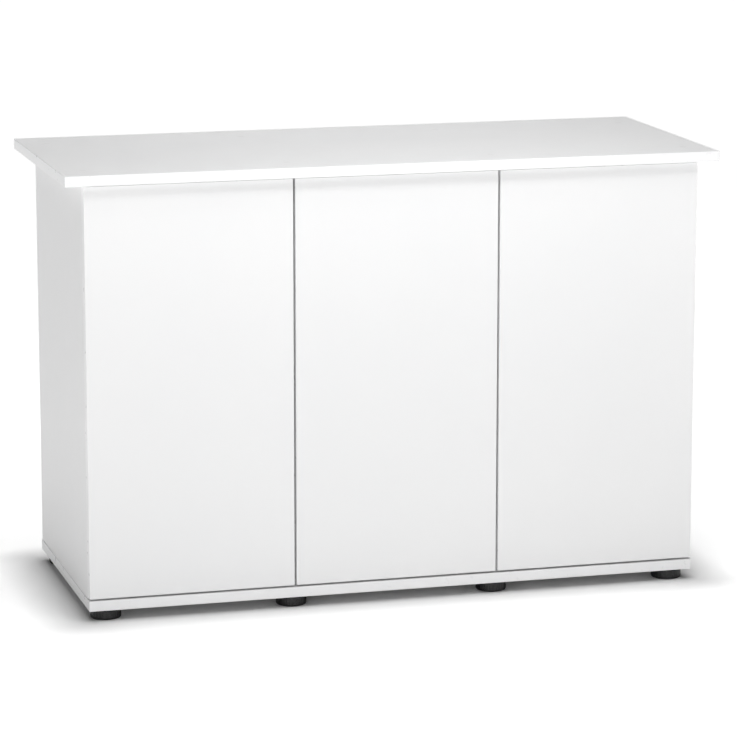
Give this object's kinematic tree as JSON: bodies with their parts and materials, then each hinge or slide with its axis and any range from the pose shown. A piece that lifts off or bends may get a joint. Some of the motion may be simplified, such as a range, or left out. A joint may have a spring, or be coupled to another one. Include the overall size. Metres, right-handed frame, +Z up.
{
  "type": "aquarium stand cabinet",
  "caption": "White board cabinet for an aquarium, with an overhanging top, handle-less push-to-open doors on concealed hinges, shelves and levelling feet.",
  "frame": {"origin": "on the floor, under the middle of the top board", "axes": "+X to the right along the width, +Y to the rear, so the doors face -Y, +Z up"},
  "size_m": [1.21, 0.51, 0.807],
  "materials": {
    "white_melamine_board": "satin white melamine face on chipboard",
    "white_edge_band": "satin white edge band",
    "white_fibreboard": "white lacquered fibreboard",
    "grey_plastic": "moulded, fine texture",
    "white_plastic": "satin",
    "beech": "fluted dowel",
    "zinc_plated_steel": "bright zinc plate",
    "nickel_plated_steel": "nickel plate",
    "plunger_plastic": "moulded",
    "black_plastic": "moulded, fine texture"
  },
  "bodies": {
    "carcass": {"top_board": "white_melamine_board", "top_board_edging": "white_edge_band", "bottom_board": "white_melamine_board", "bottom_board_edging": "white_edge_band", "left_side_panel": "white_melamine_board", "right_side_panel": "white_melamine_board", "left_divider": "white_melamine_board", "right_divider": "white_melamine_board", "upright_edging": "white_edge_band", "back_panel": "white_fibreboard", "back_panel_screws": "zinc_plated_steel", "cable_grommets": "grey_plastic", "middle_shelf": "white_melamine_board", "right_shelf": "white_melamine_board", "shelf_edging": "white_edge_band", "shelf_pins": "zinc_plated_steel", "dowels": "beech", "carcass_screws": "zinc_plated_steel", "screw_caps": "white_plastic", "hinge_plates": "nickel_plated_steel", "hinge_arms": "nickel_plated_steel", "hinge_screws": "zinc_plated_steel", "latch_housings": "grey_plastic", "latch_springs": "zinc_plated_steel", "latch_screws": "zinc_plated_steel", "foot_sockets": "black_plastic"},
    "left_door": {"left_door": "white_melamine_board", "left_door_edging": "white_edge_band", "left_hinge_cups": "nickel_plated_steel", "left_cup_screws": "zinc_plated_steel", "left_strike_plate": "nickel_plated_steel"},
    "left_inner_links": {"left_inner_links": "nickel_plated_steel"},
    "left_outer_links": {"left_outer_links": "nickel_plated_steel"},
    "left_plunger": {"left_plunger": "plunger_plastic"},
    "middle_door": {"middle_door": "white_melamine_board", "middle_door_edging": "white_edge_band", "middle_hinge_cups": "nickel_plated_steel", "middle_cup_screws": "zinc_plated_steel", "middle_strike_plate": "nickel_plated_steel"},
    "middle_inner_links": {"middle_inner_links": "nickel_plated_steel"},
    "middle_outer_links": {"middle_outer_links": "nickel_plated_steel"},
    "middle_plunger": {"middle_plunger": "plunger_plastic"},
    "right_door": {"right_door": "white_melamine_board", "right_door_edging": "white_edge_band", "right_hinge_cups": "nickel_plated_steel", "right_cup_screws": "zinc_plated_steel", "right_strike_plate": "nickel_plated_steel"},
    "right_inner_links": {"right_inner_links": "nickel_plated_steel"},
    "right_outer_links": {"right_outer_links": "nickel_plated_steel"},
    "right_plunger": {"right_plunger": "plunger_plastic"},
    "foot_front_1": {"foot_front_1": "black_plastic"},
    "foot_front_2": {"foot_front_2": "black_plastic"},
    "foot_front_3": {"foot_front_3": "black_plastic"},
    "foot_front_4": {"foot_front_4": "black_plastic"},
    "foot_rear_1": {"foot_rear_1": "black_plastic"},
    "foot_rear_2": {"foot_rear_2": "black_plastic"},
    "foot_rear_3": {"foot_rear_3": "black_plastic"},
    "foot_rear_4": {"foot_rear_4": "black_plastic"}
  },
  "joints": [
    {"name": "left_inner_link_turn", "type": "hinge", "parent": "carcass", "child": "left_inner_links", "pos_m": [-0.526, -0.209, 0.41375], "axis": [0, 0, 1], "range_deg": [0, 43.05]},
    {"name": "left_door_swing", "type": "hinge", "parent": "left_inner_links", "child": "left_door", "pos_m": [-0.5565, -0.223, 0.41375], "axis": [0, 0, -1], "range_deg": [0, 143]},
    {"name": "left_outer_link_turn", "type": "hinge", "parent": "carcass", "child": "left_outer_links", "pos_m": [-0.5185, -0.199, 0.41375], "axis": [0, 0, 1], "range_deg": [0, 34.05]},
    {"name": "left_plunger_slide", "type": "slide", "parent": "carcass", "child": "left_plunger", "axis": [0, -1, 0], "range_m": [0, 0.0101]},
    {"name": "middle_inner_link_turn", "type": "hinge", "parent": "carcass", "child": "middle_inner_links", "pos_m": [-0.14533, -0.209, 0.41375], "axis": [0, 0, 1], "range_deg": [0, 43.05]},
    {"name": "middle_door_swing", "type": "hinge", "parent": "middle_inner_links", "child": "middle_door", "pos_m": [-0.17583, -0.223, 0.41375], "axis": [0, 0, -1], "range_deg": [0, 143]},
    {"name": "middle_outer_link_turn", "type": "hinge", "parent": "carcass", "child": "middle_outer_links", "pos_m": [-0.13783, -0.199, 0.41375], "axis": [0, 0, 1], "range_deg": [0, 34.05]},
    {"name": "middle_plunger_slide", "type": "slide", "parent": "carcass", "child": "middle_plunger", "axis": [0, -1, 0], "range_m": [0, 0.0101]},
    {"name": "right_inner_link_turn", "type": "hinge", "parent": "carcass", "child": "right_inner_links", "pos_m": [0.526, -0.209, 0.41375], "axis": [0, 0, -1], "range_deg": [0, 43.05]},
    {"name": "right_door_swing", "type": "hinge", "parent": "right_inner_links", "child": "right_door", "pos_m": [0.5565, -0.223, 0.41375], "axis": [0, 0, 1], "range_deg": [0, 143]},
    {"name": "right_outer_link_turn", "type": "hinge", "parent": "carcass", "child": "right_outer_links", "pos_m": [0.5185, -0.199, 0.41375], "axis": [0, 0, -1], "range_deg": [0, 34.05]},
    {"name": "right_plunger_slide", "type": "slide", "parent": "carcass", "child": "right_plunger", "axis": [0, -1, 0], "range_m": [0, 0.0101]},
    {"name": "foot_front_1_height", "type": "slide", "parent": "carcass", "child": "foot_front_1", "axis": [0, 0, -1], "range_m": [0, 0.01]},
    {"name": "foot_front_2_height", "type": "slide", "parent": "carcass", "child": "foot_front_2", "axis": [0, 0, -1], "range_m": [0, 0.01]},
    {"name": "foot_front_3_height", "type": "slide", "parent": "carcass", "child": "foot_front_3", "axis": [0, 0, -1], "range_m": [0, 0.01]},
    {"name": "foot_front_4_height", "type": "slide", "parent": "carcass", "child": "foot_front_4", "axis": [0, 0, -1], "range_m": [0, 0.01]},
    {"name": "foot_rear_1_height", "type": "slide", "parent": "carcass", "child": "foot_rear_1", "axis": [0, 0, -1], "range_m": [0, 0.01]},
    {"name": "foot_rear_2_height", "type": "slide", "parent": "carcass", "child": "foot_rear_2", "axis": [0, 0, -1], "range_m": [0, 0.01]},
    {"name": "foot_rear_3_height", "type": "slide", "parent": "carcass", "child": "foot_rear_3", "axis": [0, 0, -1], "range_m": [0, 0.01]},
    {"name": "foot_rear_4_height", "type": "slide", "parent": "carcass", "child": "foot_rear_4", "axis": [0, 0, -1], "range_m": [0, 0.01]}
  ],
  "couplings": [
    {"joint": "left_inner_link_turn", "follows": "left_door_swing", "ratio": 0.3007},
    {"joint": "left_outer_link_turn", "follows": "left_door_swing", "ratio": 0.23776},
    {"joint": "left_plunger_slide", "follows": "left_door_swing", "m_per_rad": 0.004007},
    {"joint": "middle_inner_link_turn", "follows": "middle_door_swing", "ratio": 0.3007},
    {"joint": "middle_outer_link_turn", "follows": "middle_door_swing", "ratio": 0.23776},
    {"joint": "middle_plunger_slide", "follows": "middle_door_swing", "m_per_rad": 0.004007},
    {"joint": "right_inner_link_turn", "follows": "right_door_swing", "ratio": 0.3007},
    {"joint": "right_outer_link_turn", "follows": "right_door_swing", "ratio": 0.23776},
    {"joint": "right_plunger_slide", "follows": "right_door_swing", "m_per_rad": 0.004007}
  ]
}
